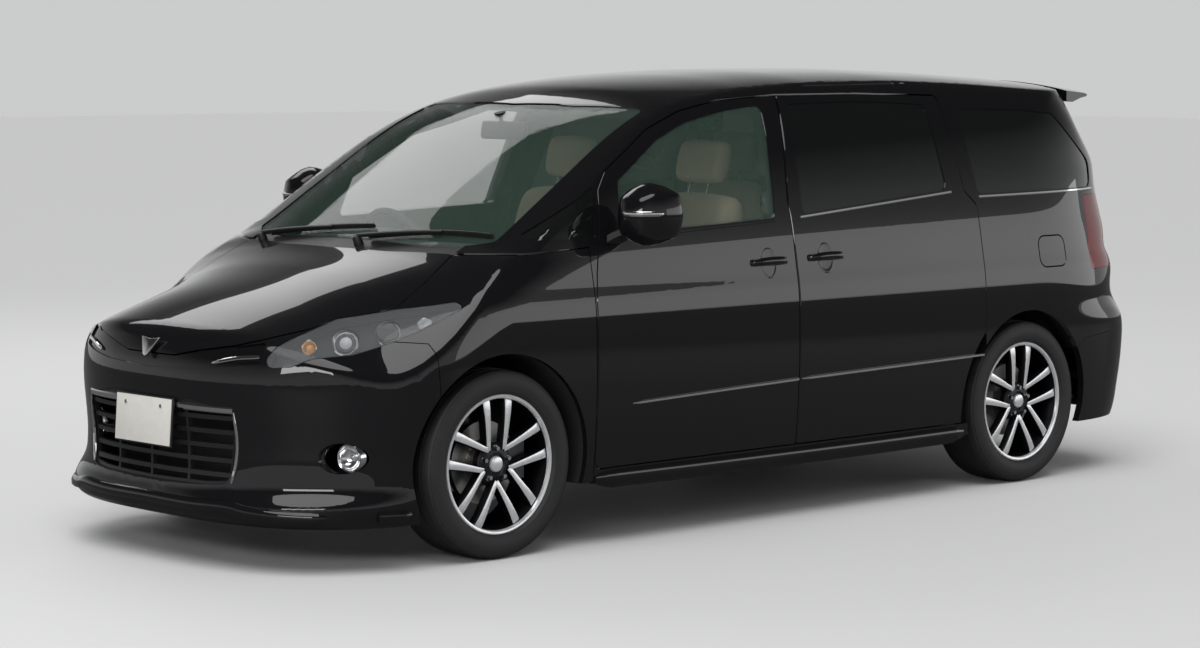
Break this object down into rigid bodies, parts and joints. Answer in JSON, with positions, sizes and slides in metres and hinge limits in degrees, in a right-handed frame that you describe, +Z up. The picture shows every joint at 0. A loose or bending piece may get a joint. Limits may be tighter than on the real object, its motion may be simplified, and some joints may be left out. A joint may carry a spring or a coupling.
{
  "type": "minivan",
  "caption": "One-box passenger van with hinged front doors, tailgate, hood and fuel flap, steered front wheels and a hollow cabin with seats.",
  "frame": {"origin": "on the road under the middle of the body", "axes": "+Z up, front faces -Y, the vehicle's left is +X"},
  "size_m": [2.1, 4.8128, 1.7379],
  "materials": {
    "paint": "gloss black paint",
    "black_trim": "moulded black",
    "clear_lens": "clear polycarbonate",
    "lamp_housing": "dark lamp bezel",
    "chrome": "bright chrome",
    "clear_glass": "lightly green-tinted glass",
    "dark_glass": "privacy glass",
    "red_lens": "red and clear lamp plastic",
    "underbody_steel": "black underbody coating",
    "rubber_mount": "rubber",
    "engine_metal": "cast alloy",
    "exhaust_steel": "steel",
    "dash_plastic": "dark grained plastic",
    "seat_cloth": "beige cloth",
    "cast_metal": "cast iron",
    "tyre": "black rubber",
    "alloy": "machined alloy"
  },
  "bodies": {
    "body": {"front_fenders": "paint", "front_bumper": "paint", "upper_grille": "black_trim", "lower_grille": "black_trim", "headlamp_lenses": "clear_lens", "headlamp_units": "lamp_housing", "fog_lamps": "chrome", "windscreen": "clear_glass", "roof": "paint", "body_side_left": "paint", "body_side_right": "paint", "sliding_door_left": "paint", "sliding_door_right": "paint", "side_windows": "dark_glass", "tail_lamps": "red_lens", "rear_bumper": "paint", "cowl": "black_trim", "underbody": "underbody_steel", "strut_mounts": "rubber_mount", "front_subframe": "underbody_steel", "rear_axle": "underbody_steel", "engine": "engine_metal", "fuel_tank": "black_trim", "exhaust": "exhaust_steel", "dashboard": "dash_plastic", "steering_column": "dash_plastic", "front_seats": "seat_cloth", "second_row_seats": "seat_cloth", "third_row_seats": "seat_cloth"},
    "hood": {"hood": "paint"},
    "front_door_left": {"front_door_left": "paint", "front_door_glass_left": "clear_glass", "door_mirror_left": "paint"},
    "front_door_right": {"front_door_right": "paint", "front_door_glass_right": "clear_glass", "door_mirror_right": "paint"},
    "tailgate": {"tailgate": "paint", "tailgate_glass": "dark_glass"},
    "fuel_flap": {"fuel_flap": "paint"},
    "steering_wheel": {"steering_wheel": "dash_plastic"},
    "knuckle_left": {"knuckle_left": "cast_metal"},
    "knuckle_right": {"knuckle_right": "cast_metal"},
    "road_wheel_front_left": {"tyre_front_left": "tyre", "wheel_front_left": "alloy"},
    "road_wheel_front_right": {"tyre_front_right": "tyre", "wheel_front_right": "alloy"},
    "road_wheel_rear_left": {"tyre_rear_left": "tyre", "wheel_rear_left": "alloy"},
    "road_wheel_rear_right": {"tyre_rear_right": "tyre", "wheel_rear_right": "alloy"}
  },
  "joints": [
    {"name": "steer_left", "type": "hinge", "parent": "body", "child": "knuckle_left", "pos_m": [0.706, -1.492, 0.214], "axis": [-0.1841, 0, 0.9829], "range_deg": [-35, 35]},
    {"name": "steer_right", "type": "hinge", "parent": "body", "child": "knuckle_right", "pos_m": [-0.706, -1.492, 0.214], "axis": [0.1841, 0, 0.9829], "range_deg": [-35, 35]},
    {"name": "steering_wheel_turn", "type": "hinge", "parent": "body", "child": "steering_wheel", "pos_m": [-0.385, -0.905, 1.01], "axis": [0, 0.9063, 0.4226], "range_deg": [-525, 525]},
    {"name": "spin_front_left", "type": "hinge", "parent": "knuckle_left", "child": "road_wheel_front_left", "pos_m": [0.768, -1.492, 0.341], "axis": [1, 0, 0], "continuous": true},
    {"name": "spin_front_right", "type": "hinge", "parent": "knuckle_right", "child": "road_wheel_front_right", "pos_m": [-0.768, -1.492, 0.341], "axis": [1, 0, 0], "continuous": true},
    {"name": "spin_rear_left", "type": "hinge", "parent": "body", "child": "road_wheel_rear_left", "pos_m": [0.768, 1.458, 0.341], "axis": [1, 0, 0], "continuous": true},
    {"name": "spin_rear_right", "type": "hinge", "parent": "body", "child": "road_wheel_rear_right", "pos_m": [-0.768, 1.458, 0.341], "axis": [1, 0, 0], "continuous": true},
    {"name": "hood_hinge", "type": "hinge", "parent": "body", "child": "hood", "pos_m": [0, -1.474, 1.1], "axis": [-1, 0, 0], "range_deg": [0, 50]},
    {"name": "tailgate_hinge", "type": "hinge", "parent": "body", "child": "tailgate", "pos_m": [0, 2.062, 1.69], "axis": [1, 0, 0], "range_deg": [0, 80]},
    {"name": "front_door_left_hinge", "type": "hinge", "parent": "body", "child": "front_door_left", "pos_m": [0.905, -1.046, 0.7], "axis": [0, 0, -1], "range_deg": [0, 65]},
    {"name": "front_door_right_hinge", "type": "hinge", "parent": "body", "child": "front_door_right", "pos_m": [-0.905, -1.046, 0.7], "axis": [0, 0, 1], "range_deg": [0, 65]},
    {"name": "fuel_flap_hinge", "type": "hinge", "parent": "body", "child": "fuel_flap", "pos_m": [0.896, 1.536, 0.97], "axis": [0, 0, -1], "range_deg": [0, 80]}
  ],
  "couplings": [
    {"joint": "steer_right", "follows": "steer_left", "ratio": 1},
    {"joint": "steering_wheel_turn", "follows": "steer_left", "ratio": 15}
  ]
}
